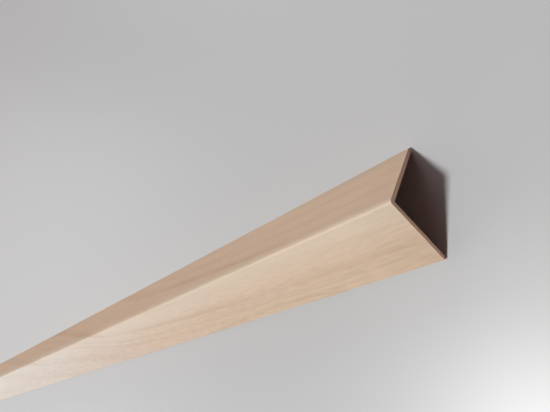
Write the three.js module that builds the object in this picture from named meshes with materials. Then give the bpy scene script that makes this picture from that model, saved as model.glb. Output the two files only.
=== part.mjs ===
// Outside corner moulding: a thin right-angled trim that covers the outer corner of a wall or panel.
// It is one length of angle section with a rounded arris, cut square at both ends. It lies like a
// tent, on the inner edges of its two legs, with the arris up.
// Millimetres. +X runs along the length and +Z is up. The origin is on the surface that the
// moulding lies on, below the middle of its length.
import * as THREE from 'three';

// Driving dimensions of the section, and the length it is cut to.
const LEG_WIDTH = 25; // face of each leg, from the sharp outer corner to the leg's edge
const WALL = 1.5; // thickness of each leg
const LENGTH = 560;
const ARRIS_RADIUS = 1; // rounding of the outer corner, which shows as a fine bright line
const INNER_FILLET = 0.4; // rounding in the corner between the two inner faces
const EDGE_RADIUS = 0.25; // easing of the four long edges of the legs
const ARC_DIVISIONS = 4; // each quarter-round is drawn with twice as many straight steps

// The pale wood-effect face.
const FACE_COLOUR = 0xcfb598;
const FACE_ROUGHNESS = 0.5;

// With the arris up, both legs run down at 45 degrees: the section is turned by this angle.
const ARRIS_UP = THREE.MathUtils.degToRad(-135);

// The section stands on the eased inner corners of its leg edges. A corner at 45 degrees loses
// (sqrt 2 - 1) of its radius when it is rounded.
const ROUNDING_LOSS = Math.SQRT2 - 1;
const ARRIS_HEIGHT = (LEG_WIDTH + WALL) / Math.SQRT2 - EDGE_RADIUS * ROUNDING_LOSS;

/** A closed outline through right-angled corners, each rounded by a quarter circle of its radius. */
function roundedOutline(corners) {
  const outline = new THREE.Shape();
  corners.forEach(({ at, radius }, i) => {
    const before = corners[(i + corners.length - 1) % corners.length].at;
    const after = corners[(i + 1) % corners.length].at;
    const inward = at.clone().sub(before).normalize();
    const outward = after.clone().sub(at).normalize();
    const start = at.clone().addScaledVector(inward, -radius);
    const centre = start.clone().addScaledVector(outward, radius);
    const startAngle = Math.atan2(-outward.y, -outward.x);
    const endAngle = Math.atan2(inward.y, inward.x);
    const turnsRight = inward.cross(outward) < 0;
    if (i === 0) {
      outline.moveTo(start.x, start.y);
    }
    outline.absarc(centre.x, centre.y, radius, startAngle, endAngle, turnsRight);
  });
  outline.closePath();
  return outline;
}

/** The angle section, with its sharp outer corner at (0, 0) and a leg along each axis. */
function angleSection() {
  return roundedOutline([
    { at: new THREE.Vector2(0, 0), radius: ARRIS_RADIUS },
    { at: new THREE.Vector2(LEG_WIDTH, 0), radius: EDGE_RADIUS },
    { at: new THREE.Vector2(LEG_WIDTH, WALL), radius: EDGE_RADIUS },
    { at: new THREE.Vector2(WALL, WALL), radius: INNER_FILLET },
    { at: new THREE.Vector2(WALL, LEG_WIDTH), radius: EDGE_RADIUS },
    { at: new THREE.Vector2(0, LEG_WIDTH), radius: EDGE_RADIUS },
  ]);
}

/** The section carried along X for the whole length, arris up and centred over the origin. */
function cornerMoulding() {
  const geometry = new THREE.ExtrudeGeometry(angleSection(), {
    depth: LENGTH,
    steps: 1,
    bevelEnabled: false,
    curveSegments: ARC_DIVISIONS,
  });
  // The drawing's two axes become Y and Z, and the length becomes X.
  const across = new THREE.Vector3(0, 1, 0);
  const up = new THREE.Vector3(0, 0, 1);
  const along = new THREE.Vector3(1, 0, 0);
  geometry.applyMatrix4(new THREE.Matrix4().makeBasis(across, up, along));
  geometry.rotateX(ARRIS_UP);
  geometry.translate(-LENGTH / 2, 0, ARRIS_HEIGHT);
  const material = new THREE.MeshStandardMaterial({
    color: FACE_COLOUR,
    roughness: FACE_ROUGHNESS,
    metalness: 0,
  });
  const mesh = new THREE.Mesh(geometry, material);
  mesh.name = 'corner_moulding';
  return mesh;
}

const moulding = new THREE.Group();
moulding.add(cornerMoulding());

export default moulding;
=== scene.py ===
import math

import bpy
import numpy as np
from mathutils import Matrix, Vector


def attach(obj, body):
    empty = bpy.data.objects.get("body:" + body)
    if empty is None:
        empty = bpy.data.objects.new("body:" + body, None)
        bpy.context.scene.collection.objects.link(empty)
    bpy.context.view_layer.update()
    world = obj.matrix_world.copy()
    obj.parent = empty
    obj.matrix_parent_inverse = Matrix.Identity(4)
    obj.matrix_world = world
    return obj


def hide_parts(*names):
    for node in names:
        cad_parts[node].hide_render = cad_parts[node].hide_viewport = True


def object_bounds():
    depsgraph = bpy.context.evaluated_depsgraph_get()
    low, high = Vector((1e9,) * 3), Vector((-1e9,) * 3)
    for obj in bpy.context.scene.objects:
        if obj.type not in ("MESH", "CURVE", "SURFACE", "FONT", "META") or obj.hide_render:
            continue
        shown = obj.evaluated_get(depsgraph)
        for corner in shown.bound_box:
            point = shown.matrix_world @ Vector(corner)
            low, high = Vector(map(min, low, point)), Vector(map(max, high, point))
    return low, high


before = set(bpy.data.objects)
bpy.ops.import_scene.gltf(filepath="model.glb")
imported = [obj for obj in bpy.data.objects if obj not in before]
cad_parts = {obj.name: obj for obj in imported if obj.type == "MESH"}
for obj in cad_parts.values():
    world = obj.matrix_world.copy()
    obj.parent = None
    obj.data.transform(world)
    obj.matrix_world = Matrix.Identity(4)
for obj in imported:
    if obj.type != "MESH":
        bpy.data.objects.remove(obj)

cad_low, cad_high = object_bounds()

# Camera
# A small camera held close above the near end and a little beyond it, on its side, looking back along
# the moulding. Its places are counted in legs of the section, from the floor point below the near
# end's arris.
LEG = 0.025  # face of each leg, from the sharp outer corner to the leg's edge, in metres
NEAR_END = Vector((cad_high[0], 0, 0))
CAMERA_PLACE = NEAR_END + LEG * Vector((3.067, -1.219, 5.313))
CAMERA_AIM = NEAR_END + LEG * Vector((-2.588, 0.909, 0))
CAMERA_ROLL = math.radians(89.44)
FOCAL_LENGTH_PIXELS = 505.3
PICTURE_WIDTH_PIXELS = 550
SENSOR_WIDTH = 36  # millimetres
NEAREST_SEEN = 0.005  # metres


def camera_matrix(place, aim, roll):
    """Looks from place to aim. The level right and up directions are then turned by roll about the
    view: right cos(roll) - up sin(roll), and right sin(roll) + up cos(roll)."""
    forward = (aim - place).normalized()
    level_right = forward.cross(Vector((0, 0, 1))).normalized()
    level_up = level_right.cross(forward)
    right = level_right * math.cos(roll) - level_up * math.sin(roll)
    up = level_right * math.sin(roll) + level_up * math.cos(roll)
    turned = Matrix((right, up, -forward)).transposed()
    return Matrix.Translation(place) @ turned.to_4x4()


lens = bpy.data.cameras.new("close_lens")
lens.sensor_width = SENSOR_WIDTH
lens.lens = FOCAL_LENGTH_PIXELS / PICTURE_WIDTH_PIXELS * SENSOR_WIDTH
lens.clip_start = NEAREST_SEEN
camera = bpy.data.objects.new("close_camera", lens)
camera.matrix_world = camera_matrix(CAMERA_PLACE, CAMERA_AIM, CAMERA_ROLL)
bpy.context.collection.objects.link(camera)
bpy.context.scene.camera = camera

# The picture shows the colours as they are rendered, with no film-like curve.
bpy.context.scene.view_settings.view_transform = "Standard"

# Light
# A small key light stands high beyond the far end, a little to the front, so the sawn end and the floor
# before it lie in shade. Wide oval panels stand low from the front, round the far end, to the back, and
# give the faces and the floor their sheen.
PANEL_DISTANCE = 10.0  # metres from the origin


def light_panel(name, azimuth, elevation, width, height, brightness, colour=(1, 1, 1)):
    """An oval turned to the origin from a direction. Azimuth is counted from +X towards +Y, in degrees.
    It looks equally bright from every side, so its power is pi times its brightness times its area."""
    turn, rise = math.radians(azimuth), math.radians(elevation)
    level = math.cos(rise)
    towards = Vector((math.cos(turn) * level, math.sin(turn) * level, math.sin(rise)))
    area = math.pi / 4 * width * height
    panel = bpy.data.lights.new(name, "AREA")
    panel.shape = "ELLIPSE"
    panel.size = width
    panel.size_y = height
    panel.energy = math.pi * brightness * area
    panel.color = colour
    lamp = bpy.data.objects.new(name, panel)
    facing = towards.to_track_quat("Z", "Y").to_matrix().to_4x4()
    lamp.matrix_world = Matrix.Translation(towards * PANEL_DISTANCE) @ facing
    lamp.visible_camera = False
    bpy.context.collection.objects.link(lamp)


COOL_WHITE = (0.77, 0.88, 1.0)
light_panel("key_light", azimuth=-146, elevation=62, width=1.47, height=1.47, brightness=174)
light_panel("front_panel", azimuth=-125, elevation=14, width=6.2, height=3.4, brightness=1.5)
light_panel(
    "low_far_panel", azimuth=-160, elevation=9, width=6.8, height=2.9, brightness=2.95, colour=COOL_WHITE
)
light_panel("high_far_panel", azimuth=172, elevation=25, width=9.0, height=3.6, brightness=1.55)
light_panel("back_panel", azimuth=105, elevation=18, width=9.0, height=4.5, brightness=3.15)

# The rest of the studio lights the moulding dimly and warmly, but the camera sees a pale backdrop.
WARM_DIM = (0.105, 0.0535, 0.054, 1)
PALE_GREY = (0.36, 0.355, 0.35, 1)
studio = bpy.data.worlds.new("studio")
studio.use_nodes = True
studio_nodes = studio.node_tree.nodes
studio_links = studio.node_tree.links
dim_light = studio_nodes["Background"]
dim_light.inputs["Color"].default_value = WARM_DIM
backdrop = studio_nodes.new("ShaderNodeBackground")
backdrop.inputs["Color"].default_value = PALE_GREY
light_path = studio_nodes.new("ShaderNodeLightPath")
lit_or_seen = studio_nodes.new("ShaderNodeMixShader")
studio_links.new(light_path.outputs["Is Camera Ray"], lit_or_seen.inputs[0])
studio_links.new(dim_light.outputs[0], lit_or_seen.inputs[1])
studio_links.new(backdrop.outputs[0], lit_or_seen.inputs[2])
studio_links.new(lit_or_seen.outputs[0], studio_nodes["World Output"].inputs["Surface"])
bpy.context.scene.world = studio

# Floor
# A plain pale board with a satin surface, on which the moulding lies. It reaches far beyond the
# camera's picture on every side.
FLOOR_SIDE = 12.0
BOARD_GREY = (0.475, 0.495, 0.495, 1)
BOARD_ROUGHNESS = 0.38
half_side = FLOOR_SIDE / 2
floor_corners = [(x * half_side, y * half_side, 0) for x, y in ((-1, -1), (1, -1), (1, 1), (-1, 1))]
floor_mesh = bpy.data.meshes.new("floor")
floor_mesh.from_pydata(floor_corners, [], [(0, 1, 2, 3)])
floor_paint = bpy.data.materials.new("pale_board")
floor_paint.use_nodes = True
floor_shader = floor_paint.node_tree.nodes["Principled BSDF"]
floor_shader.inputs["Base Color"].default_value = BOARD_GREY
floor_shader.inputs["Roughness"].default_value = BOARD_ROUGHNESS
floor_mesh.materials.append(floor_paint)
floor = bpy.data.objects.new("floor", floor_mesh)
bpy.context.collection.objects.link(floor)

# Outside corner moulding
# One length of thin right-angled section in a light-brown core, its two outer faces wrapped in a pale
# maple-effect foil. It is cut square at both ends with a fine saw and lies on its two leg edges.
WALL = 0.0015
ARRIS_RADIUS = 0.001
INNER_FILLET = 0.0004
EDGE_RADIUS = 0.00025  # easing of the long edges of the legs
SAWN_EDGE = 0.00012  # the fine break where the long faces meet a sawn end
ARRIS_STEPS = 12
EDGE_STEPS = 6
STATIONS = 29

# The section stands on the inner easing of each leg edge, which sets its sharp outer corner this high.
arris_height = (LEG + WALL) / math.sqrt(2) - EDGE_RADIUS * (math.sqrt(2) - 1)


def quarter_round(corner, arriving, leaving, radius, steps):
    """A quarter circle that rounds a right-angled corner: its centre plus radius times (arriving sin t -
    leaving cos t), with t from 0 to 90 degrees. It starts one radius before the corner on the arriving
    line and ends one radius after it on the leaving line."""
    turn = np.linspace(0, math.pi / 2, steps + 1)[:, None]
    centre = corner - arriving * radius + leaving * radius
    return centre + radius * (arriving * np.sin(turn) - leaving * np.cos(turn))


def section_chains(inset):
    """The outer and the inner side of the angle section, as two rows of as many points each, from the
    edge of the front leg to the edge of the back leg. The section is drawn with its sharp outer corner
    at (0, 0) and a leg along each axis, and all of it is drawn in by inset."""
    first, second = np.array((1.0, 0.0)), np.array((0.0, 1.0))
    low, tip, thick = inset, LEG - inset, WALL - inset
    edge = EDGE_RADIUS - inset
    outer = np.concatenate((
        quarter_round(np.array((tip, low)), -second, -first, edge, EDGE_STEPS),
        quarter_round(np.array((low, low)), -first, second, ARRIS_RADIUS - inset, ARRIS_STEPS),
        quarter_round(np.array((low, tip)), second, first, edge, EDGE_STEPS),
    ))
    inner = np.concatenate((
        quarter_round(np.array((tip, thick)), second, -first, edge, EDGE_STEPS),
        quarter_round(np.array((thick, thick)), -first, second, INNER_FILLET + inset, ARRIS_STEPS),
        quarter_round(np.array((thick, tip)), second, -first, edge, EDGE_STEPS),
    ))
    return outer, inner


def arris_up(section):
    """Turns section directions so that the corner points up: Y is (second - first) / root 2, and Z is
    -(first + second) / root 2. Each axis then runs down at 45 degrees, the first one to the front."""
    first, second = section[..., 0], section[..., 1]
    return np.stack(((second - first) / math.sqrt(2), -(first + second) / math.sqrt(2)), axis=-1)


def run_from_arris(chain):
    """The length along a chain of points from its middle one, less than zero on the front leg."""
    steps = np.linalg.norm(np.diff(chain, axis=0), axis=1)
    run = np.concatenate(([0], np.cumsum(steps)))
    return run - run[len(run) // 2]


outer_chain, inner_chain = section_chains(0.0)
sawn_outer, sawn_inner = section_chains(SAWN_EDGE)
whole_section = np.concatenate((outer_chain, inner_chain[::-1]))
sawn_section = np.concatenate((sawn_outer, sawn_inner[::-1]))
across = np.concatenate((run_from_arris(outer_chain), run_from_arris(inner_chain)[::-1]))

# The section is carried along X, drawn in a little at the two sawn ends.
half_length = cad_high[0]
between_breaks = np.linspace(-half_length + SAWN_EDGE, half_length - SAWN_EDGE, STATIONS)
stations = np.concatenate(([-half_length], between_breaks, [half_length]))
ring_count, ring_size = len(stations), len(whole_section)
sections = np.repeat(whole_section[None], ring_count, axis=0)
sections[0] = sections[-1] = sawn_section
points = np.empty((ring_count, ring_size, 3))
points[..., 0] = stations[:, None]
points[..., 1:] = arris_up(sections)
points[..., 2] += arris_height

# Each point moves straight out of the surface when the inset shrinks, which gives the true normals.
normals = np.zeros((ring_count, ring_size, 3))
normals[..., 1:] = arris_up((whole_section - sawn_section) / SAWN_EDGE)
normals[0] = (-1, 0, 0)
normals[-1] = (1, 0, 0)

# The sides join each section to the next. An end joins the outer chain to the inner one.
number = np.arange(ring_count * ring_size).reshape(ring_count, ring_size)
following = np.roll(number, -1, axis=1)
side_faces = np.stack((number[:-1], number[1:], following[1:], following[:-1]), axis=-1)
chain_size = len(outer_chain)
outer_numbers = number[:, :chain_size]
inner_numbers = number[:, :chain_size - 1:-1]
end_faces = np.stack(
    (outer_numbers[:, :-1], inner_numbers[:, :-1], inner_numbers[:, 1:], outer_numbers[:, 1:]), axis=-1
)
faces = np.concatenate((side_faces.reshape(-1, 4), end_faces[0][:, ::-1], end_faces[-1]))

# The foil covers the outer chain between the two sawn breaks, and so wraps the outer easing of each leg
# edge. The core is bare elsewhere.
FOIL, CORE = 0, 1
side_finish = np.full(side_faces.shape[:2], CORE)
side_finish[1:-1, :chain_size - 1] = FOIL
finish = np.concatenate((side_finish.ravel(), np.full(2 * (chain_size - 1), CORE)))

# The unrolled map holds metres: the place along X, and the run round the section from the arris.
moulding_mesh = bpy.data.meshes.new("corner_moulding")
moulding_mesh.from_pydata(points.reshape(-1, 3), [], faces, shade_flat=False)
moulding_mesh.polygons.foreach_set("material_index", finish.astype(np.int32))
unrolled = np.stack(np.broadcast_arrays(stations[:, None], across[None]), axis=-1).reshape(-1, 2)
corner_points = np.empty(len(moulding_mesh.loops), dtype=np.int32)
moulding_mesh.loops.foreach_get("vertex_index", corner_points)
moulding_mesh.uv_layers.new(name="unrolled").uv.foreach_set("vector", unrolled[corner_points].ravel())
moulding_mesh.normals_split_custom_set_from_vertices(normals.reshape(-1, 3))


def put(tree, value, socket):
    """Gives a socket its value: a link where the value is another socket, else a plain number."""
    if isinstance(value, bpy.types.NodeSocket):
        tree.links.new(value, socket)
    else:
        socket.default_value = value


def maths(tree, operation, *values):
    """The result of one maths node on numbers or sockets."""
    node = tree.nodes.new("ShaderNodeMath")
    node.operation = operation
    for value, socket in zip(values, node.inputs):
        put(tree, value, socket)
    return node.outputs[0]


def total(tree, value, *others):
    """The sum of several numbers or sockets."""
    for other in others:
        value = maths(tree, "ADD", value, other)
    return value


def product(tree, value, *others):
    """Several numbers or sockets multiplied together."""
    for other in others:
        value = maths(tree, "MULTIPLY", value, other)
    return value


def ramp(tree, value, start, end, low=0.0, high=1.0):
    """A soft step from low to high as value goes from start to end."""
    node = tree.nodes.new("ShaderNodeMapRange")
    node.interpolation_type = "SMOOTHSTEP"
    given = {"Value": value, "From Min": start, "From Max": end, "To Min": low, "To Max": high}
    for name, setting in given.items():
        put(tree, setting, node.inputs[name])
    return node.outputs["Result"]


def blend(tree, share, first, second):
    """A colour between two others."""
    node = tree.nodes.new("ShaderNodeMix")
    node.data_type = "RGBA"
    put(tree, share, node.inputs["Factor"])
    for colour, socket in zip((first, second), [entry for entry in node.inputs if entry.type == "RGBA"]):
        put(tree, colour, socket)
    return next(entry for entry in node.outputs if entry.type == "RGBA")


def brighten(tree, colour, amount):
    """A colour times a number that changes over the surface."""
    node = tree.nodes.new("ShaderNodeVectorMath")
    node.operation = "SCALE"
    put(tree, colour, node.inputs[0])
    put(tree, amount, node.inputs["Scale"])
    return node.outputs[0]


def fibre_group():
    """Streaks drawn out along the length. Fineness is the number of streaks across one unit, Shortness
    the number along one unit, Depth the number of finer layers in them, and each Layer is another
    pattern. The streaks swing evenly about zero: twice the noise, less one."""
    group = bpy.data.node_groups.new("fibre_streaks", "ShaderNodeTree")
    for name in ("Along", "Across", "Shortness", "Fineness", "Depth", "Layer"):
        group.interface.new_socket(name, in_out="INPUT", socket_type="NodeSocketFloat")
    group.interface.new_socket("Streak", in_out="OUTPUT", socket_type="NodeSocketFloat")
    given = group.nodes.new("NodeGroupInput").outputs
    place = group.nodes.new("ShaderNodeCombineXYZ")
    put(group, maths(group, "MULTIPLY", given["Along"], given["Shortness"]), place.inputs["X"])
    put(group, maths(group, "MULTIPLY", given["Across"], given["Fineness"]), place.inputs["Y"])
    put(group, given["Layer"], place.inputs["Z"])
    noise = group.nodes.new("ShaderNodeTexNoise")
    put(group, place.outputs[0], noise.inputs["Vector"])
    put(group, 1.0, noise.inputs["Scale"])
    put(group, given["Depth"], noise.inputs["Detail"])
    swing = maths(group, "MULTIPLY_ADD", noise.outputs[0], 2.0, -1.0)
    put(group, swing, group.nodes.new("NodeGroupOutput").inputs["Streak"])
    return group


fibre_streaks = fibre_group()


def streaks(tree, along, sideways, shortness, fineness, depth, layer):
    """The swing of one layer of lengthwise streaks."""
    node = tree.nodes.new("ShaderNodeGroup")
    node.node_tree = fibre_streaks
    values = (along, sideways, shortness, fineness, depth, layer)
    for value, socket in zip(values, node.inputs):
        put(tree, value, socket)
    return node.outputs["Streak"]


def vein(tree, ring, place, hard_width, soft_width):
    """One dark growth line: full at its place, gone over a short way below it and a longer way above."""
    below = ramp(tree, ring, place - hard_width, place)
    above = ramp(tree, ring, place, place + soft_width, low=1.0, high=0.0)
    return maths(tree, "MULTIPLY", below, above)


# The foil is printed with plain-sawn maple. Its growth lines run level by the near end, then sweep up
# over the arris towards the far end. Its places are counted in legs: from_end from the near end, and
# from_arris round the section, less than zero on the front leg.
foil = bpy.data.materials.new("maple_foil")
foil.use_nodes = True
tree = foil.node_tree
foil_shader = tree.nodes["Principled BSDF"]
foil_map = tree.nodes.new("ShaderNodeUVMap")
foil_map.uv_map = "unrolled"
foil_place = tree.nodes.new("ShaderNodeSeparateXYZ")
put(tree, foil_map.outputs["UV"], foil_place.inputs[0])
from_end = maths(tree, "MULTIPLY_ADD", foil_place.outputs["X"], -1 / LEG, half_length / LEG)
from_arris = maths(tree, "DIVIDE", foil_place.outputs["Y"], LEG)

# Growth rings are numbered by (from_arris + RING_START) / (1 + SWEEP_SPREAD climb) - climb, where climb
# goes from 0 to SWEEP_HEIGHT as half a cosine wave over SWEEP_LENGTH legs. LATE_CLIMB lifts the lines a
# little more where the first one crosses the arris, and a slow wander keeps them from running true.
RING_START = 0.62
SWEEP_HEIGHT = 1.098
SWEEP_LENGTH = 24.0
SWEEP_SPREAD = 1.6
LATE_CLIMB = 0.13
WANDER_WIDTH = 0.055
wave = maths(tree, "COSINE", maths(tree, "MULTIPLY", from_end, math.pi / SWEEP_LENGTH))
climb = maths(tree, "MULTIPLY_ADD", wave, -SWEEP_HEIGHT / 2, SWEEP_HEIGHT / 2)
spread = maths(tree, "MULTIPLY_ADD", climb, SWEEP_SPREAD, 1.0)
level_ring = maths(tree, "DIVIDE", maths(tree, "ADD", from_arris, RING_START), spread)
swept_ring = maths(tree, "SUBTRACT", level_ring, climb)
late_climb = ramp(tree, from_end, 7.2, 10.5, low=0.0, high=LATE_CLIMB)
true_ring = maths(tree, "SUBTRACT", swept_ring, late_climb)
wander = streaks(tree, from_end, from_arris, shortness=0.45, fineness=1.1, depth=2.0, layer=3.0)
ring = maths(tree, "MULTIPLY_ADD", wander, WANDER_WIDTH, true_ring)

# Two main lines change in strength along their way. Fainter ones lie below, between and above them.
first_line = vein(tree, ring, place=0.0, hard_width=0.06, soft_width=0.13)
first_strength = total(
    tree,
    ramp(tree, from_end, 2.4, 4.0, low=0.26, high=0.42),
    ramp(tree, from_end, 6.0, 7.5, low=0.0, high=-0.14),
    ramp(tree, from_end, 8.4, 9.6, low=0.0, high=0.34),
)
second_line = vein(tree, ring, place=0.72, hard_width=0.06, soft_width=0.14)
second_strength = product(
    tree,
    ramp(tree, from_end, 0.9, 3.0, low=0.18, high=0.76),
    ramp(tree, from_end, 5.0, 8.5, low=1.0, high=0.45),
)
growth = maths(tree, "MULTIPLY", first_line, first_strength)
growth = maths(tree, "MULTIPLY_ADD", second_line, second_strength, growth)
for place, hard_width, soft_width, strength in (
    (-0.85, 0.06, 0.14, 0.20),
    (-0.55, 0.06, 0.14, 0.28),
    (-0.27, 0.05, 0.09, 0.18),
    (-0.16, 0.05, 0.08, 0.20),
    (0.33, 0.06, 0.12, 0.10),
    (0.98, 0.06, 0.13, 0.22),
    (1.25, 0.06, 0.14, 0.20),
):
    faint_line = vein(tree, ring, place, hard_width, soft_width)
    growth = maths(tree, "MULTIPLY_ADD", faint_line, strength, growth)

# A low arch in the grain stands on the front foot, steep towards the near end and long the other way.
# It is a soft line where the root of arch_along squared plus arch_across squared is 1, each of the two
# being the distance from the arch's middle over its size in that direction.
ARCH_MIDDLE = 2.4
ARCH_FOOT = -1.02
ARCH_HEIGHT = 0.14
ARCH_NEAR_LENGTH = 0.85
ARCH_FAR_LENGTH = 2.6
ARCH_WANDER = 0.25
ARCH_STRENGTH = 0.45
past_middle = maths(tree, "SUBTRACT", from_end, ARCH_MIDDLE)
arch_far = maths(tree, "DIVIDE", past_middle, ARCH_FAR_LENGTH)
arch_near = maths(tree, "DIVIDE", past_middle, -ARCH_NEAR_LENGTH)
arch_along = maths(tree, "MAXIMUM", arch_far, arch_near)
arch_across = maths(tree, "DIVIDE", maths(tree, "SUBTRACT", from_arris, ARCH_FOOT), ARCH_HEIGHT)
along_squared = maths(tree, "POWER", arch_along, 2.0)
across_squared = maths(tree, "POWER", arch_across, 2.0)
oval = maths(tree, "SQRT", maths(tree, "ADD", along_squared, across_squared))
arch = maths(tree, "MULTIPLY_ADD", wander, ARCH_WANDER, oval)
arch_line = vein(tree, arch, place=1.0, hard_width=0.34, soft_width=0.24)
growth = maths(tree, "MULTIPLY_ADD", arch_line, ARCH_STRENGTH, growth)

# Each line fades and comes back along its way.
STRONGEST_LINE = 0.85
fading = streaks(tree, from_end, ring, shortness=0.55, fineness=2.5, depth=2.0, layer=9.0)
line_strength = ramp(tree, fading, -0.35, 0.30, low=0.45, high=1.0)
growth = maths(tree, "MINIMUM", maths(tree, "MULTIPLY", growth, line_strength), STRONGEST_LINE)

# Broad bands of two woods. Pale sapwood follows the arris, wider towards the far end, and near the arris
# it is partly a painted sheen. The back leg is painted warmer, a painted tint for how light falls on it
# unlike the front, and the far half of the front leg is painted greyer, a painted sheen from the low far
# light.
PALE_WOOD = (0.603, 0.466, 0.325, 1)
PINKISH_WOOD = (0.603, 0.443, 0.310, 1)
SAPWOOD_AND_SHEEN = (0.690, 0.590, 0.455, 1)
WARM_LIGHT_TINT = (0.605, 0.420, 0.280, 1)
FAR_SHEEN_GREY = (0.578, 0.522, 0.450, 1)
GROWTH_LINE = (0.475, 0.300, 0.175, 1)
SAPWOOD_AND_SHEEN_SHARE = 0.66
WARM_LIGHT_SHARE = 0.55
FAR_SHEEN_SHARE = 0.5
band_swing = streaks(tree, from_end, ring, shortness=0.16, fineness=2.2, depth=2.0, layer=11.0)
wood = blend(tree, ramp(tree, band_swing, -0.35, 0.35), PALE_WOOD, PINKISH_WOOD)
# Pale band by the arris: sapwood print and painted sheen together.
sapwood_and_sheen_front = ramp(tree, from_arris, -0.75, -0.02, low=0.0, high=SAPWOOD_AND_SHEEN_SHARE)
sapwood_and_sheen_reach = ramp(tree, from_end, 2.0, 17.0, low=0.12, high=0.50)
sapwood_and_sheen_back = ramp(tree, from_arris, -0.03, sapwood_and_sheen_reach, low=1.0, high=0.0)
wood = blend(tree, product(tree, sapwood_and_sheen_front, sapwood_and_sheen_back), wood, SAPWOOD_AND_SHEEN)
# Painted light: the whole back leg is tinted warmer for the light that falls on it.
warm_light_on_back_leg = ramp(tree, from_arris, 0.02, 0.25, low=0.0, high=WARM_LIGHT_SHARE)
wood = blend(tree, warm_light_on_back_leg, wood, WARM_LIGHT_TINT)
# Painted sheen: the far half of the front leg is greyed for the grazing reflection of the low far light.
far_sheen_reach = ramp(tree, from_end, 6.0, 13.0, low=0.0, high=FAR_SHEEN_SHARE)
on_front_leg = ramp(tree, from_arris, 0.05, -0.10)
wood = blend(tree, product(tree, far_sheen_reach, on_front_leg), wood, FAR_SHEEN_GREY)
wood = blend(tree, growth, wood, GROWTH_LINE)

# Streaks of four sizes and tiny darker flecks. The broad streaks are stronger below the first growth
# line, and the short dashes are strongest low on the front leg.
FINE_STRENGTH = 0.045
FIGURE_STRENGTH = 0.045
FLECK_STRENGTH = -0.075
broad = streaks(tree, from_end, ring, shortness=0.30, fineness=16.0, depth=3.0, layer=17.0)
broad_streaks = product(tree, broad, ramp(tree, ring, -0.10, 0.12, low=0.085, high=0.030))
fine = streaks(tree, from_end, ring, shortness=0.80, fineness=52.0, depth=2.0, layer=23.0)
fine_streaks = product(tree, fine, FINE_STRENGTH)
short = streaks(tree, from_end, ring, shortness=4.0, fineness=22.0, depth=2.0, layer=29.0)
dashes = product(tree, short, ramp(tree, from_arris, -0.60, -0.05, low=0.16, high=0.06))
cloudy = streaks(tree, from_end, from_arris, shortness=1.3, fineness=4.0, depth=2.0, layer=41.0)
figure = product(tree, cloudy, FIGURE_STRENGTH)
tiny = streaks(tree, from_end, from_arris, shortness=8.0, fineness=95.0, depth=1.0, layer=31.0)
flecks = product(tree, ramp(tree, tiny, 0.25, 0.60), FLECK_STRENGTH)

# The foil is painted a little darker close to the sawn end, a painted shade; a painted shadow darkens
# the back foot next to it; and the arris is painted a touch darker to dim its highlight.
END_SHADE = -0.055
FOOT_SHADOW = -0.13
ARRIS_HIGHLIGHT_DIMMING = -0.035
# Painted shade close to the sawn end.
end_shade = ramp(tree, from_end, 0.0, 0.9, low=END_SHADE, high=0.0)
# Painted shadow along the back foot, fading away from the near end.
by_end = ramp(tree, from_end, 3.0, 0.6)
back_foot_shadow = ramp(tree, from_arris, 0.70, 1.0, low=0.0, high=FOOT_SHADOW)
foot_shadow = product(tree, back_foot_shadow, by_end)
# The arris is painted a touch darker to dim its highlight.
either_side = maths(tree, "ABSOLUTE", from_arris)
arris_highlight_dimming = ramp(tree, either_side, 0.0, 0.05, low=ARRIS_HIGHLIGHT_DIMMING, high=0.0)
grain_tone = total(tree, 1.0, broad_streaks, fine_streaks, flecks, figure, dashes)
wood = brighten(tree, wood, total(tree, grain_tone, end_shade, foot_shadow, arris_highlight_dimming))
put(tree, wood, foil_shader.inputs["Base Color"])

# Satin lacquer, a little duller along the pores, over a faint embossed grain.
FOIL_ROUGHNESS = 0.50
PORE_DULLNESS = -0.9
EMBOSSING = 10.0
sheen = maths(tree, "MULTIPLY_ADD", fine_streaks, PORE_DULLNESS, FOIL_ROUGHNESS)
put(tree, sheen, foil_shader.inputs["Roughness"])
foil_relief = tree.nodes.new("ShaderNodeBump")
foil_relief.inputs["Strength"].default_value = 0.35
foil_relief.inputs["Distance"].default_value = 0.00004
put(tree, maths(tree, "MULTIPLY_ADD", fine_streaks, EMBOSSING, flecks), foil_relief.inputs["Height"])
put(tree, foil_relief.outputs[0], foil_shader.inputs["Normal"])
moulding_mesh.materials.append(foil)

# The core shows on the sawn ends, the leg edges and the inner faces: dense, evenly coloured, with fine
# speckles, and drawn lengthwise on the inner faces where it left the die. The sawn ends are painted
# paler than the drawn faces, and the front leg paler than the back: painted light, for the light these
# faces catch off the bright floor before the near end.
CORE_BROWN = (0.680, 0.485, 0.340, 1)
CORE_DARK = (0.500, 0.340, 0.240, 1)
SPECKLE_FINENESS = 3200.0
SPECKLE_DEPTH = 2.0
SPECKLE_SHARE = 0.45
DRAWN_TONE = 0.05
DRAWN_RELIEF = 0.4
DRAWN_FACE_TONE = 0.92
SAWN_END_LIGHT = 1.18
CUT_BEGINS = 0.0006  # metres in from a sawn end, where its painted light sets in
CUT_PALEST = 0.0003  # and where it is full
FRONT_BOUNCE_LIGHT = 1.28
FRONT_PALEST = -0.015  # the Y, in metres, from which the front leg's painted light is full
CORE_SATIN = 0.62
CORE_DULL = 0.74
core = bpy.data.materials.new("brown_core")
core.use_nodes = True
tree = core.node_tree
core_shader = tree.nodes["Principled BSDF"]
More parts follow.
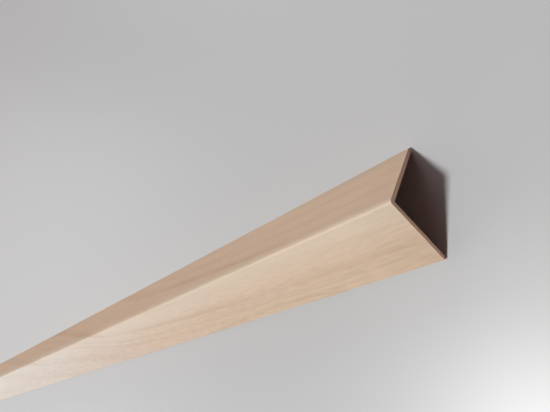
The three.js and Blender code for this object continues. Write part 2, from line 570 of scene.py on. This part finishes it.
core_map = tree.nodes.new("ShaderNodeTexCoord")
core_place = tree.nodes.new("ShaderNodeSeparateXYZ")
put(tree, core_map.outputs["Object"], core_place.inputs[0])
speckle = tree.nodes.new("ShaderNodeTexNoise")
speckle.inputs["Scale"].default_value = SPECKLE_FINENESS
speckle.inputs["Detail"].default_value = SPECKLE_DEPTH
put(tree, core_map.outputs["Object"], speckle.inputs["Vector"])
dark_grains = product(tree, ramp(tree, speckle.outputs[0], 0.50, 0.68), SPECKLE_SHARE)
brown = blend(tree, dark_grains, CORE_BROWN, CORE_DARK)
drawn_lines = streaks(
    tree, core_place.outputs["X"], core_place.outputs["Z"],
    shortness=20.0, fineness=1900.0, depth=2.0, layer=5.0,
)
drawn_tone = maths(tree, "MULTIPLY_ADD", drawn_lines, DRAWN_TONE, 1.0)
from_middle = maths(tree, "ABSOLUTE", core_place.outputs["X"])
cut_begins, cut_palest = half_length - CUT_BEGINS, half_length - CUT_PALEST
# Painted light: the sawn ends are paler than the drawn faces.
sawn_end_light = ramp(tree, from_middle, cut_begins, cut_palest, low=DRAWN_FACE_TONE, high=SAWN_END_LIGHT)
# Painted light: the front leg's core is brighter, for the bounce off the bright floor.
front_bounce_light = ramp(tree, core_place.outputs["Y"], 0.0, FRONT_PALEST, low=1.0, high=FRONT_BOUNCE_LIGHT)
brown = brighten(tree, brown, product(tree, drawn_tone, sawn_end_light, front_bounce_light))
put(tree, brown, core_shader.inputs["Base Color"])
core_dullness = ramp(tree, speckle.outputs[0], 0.3, 0.7, low=CORE_SATIN, high=CORE_DULL)
put(tree, core_dullness, core_shader.inputs["Roughness"])
pits = tree.nodes.new("ShaderNodeBump")
pits.inputs["Strength"].default_value = 0.4
pits.inputs["Distance"].default_value = 0.00003
pit_depth = maths(tree, "MULTIPLY_ADD", drawn_lines, DRAWN_RELIEF, speckle.outputs[0])
put(tree, pit_depth, pits.inputs["Height"])
put(tree, pits.outputs[0], core_shader.inputs["Normal"])
moulding_mesh.materials.append(core)

moulding = bpy.data.objects.new("corner_moulding_wrapped", moulding_mesh)
bpy.context.collection.objects.link(moulding)
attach(moulding, "root")
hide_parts("corner_moulding")
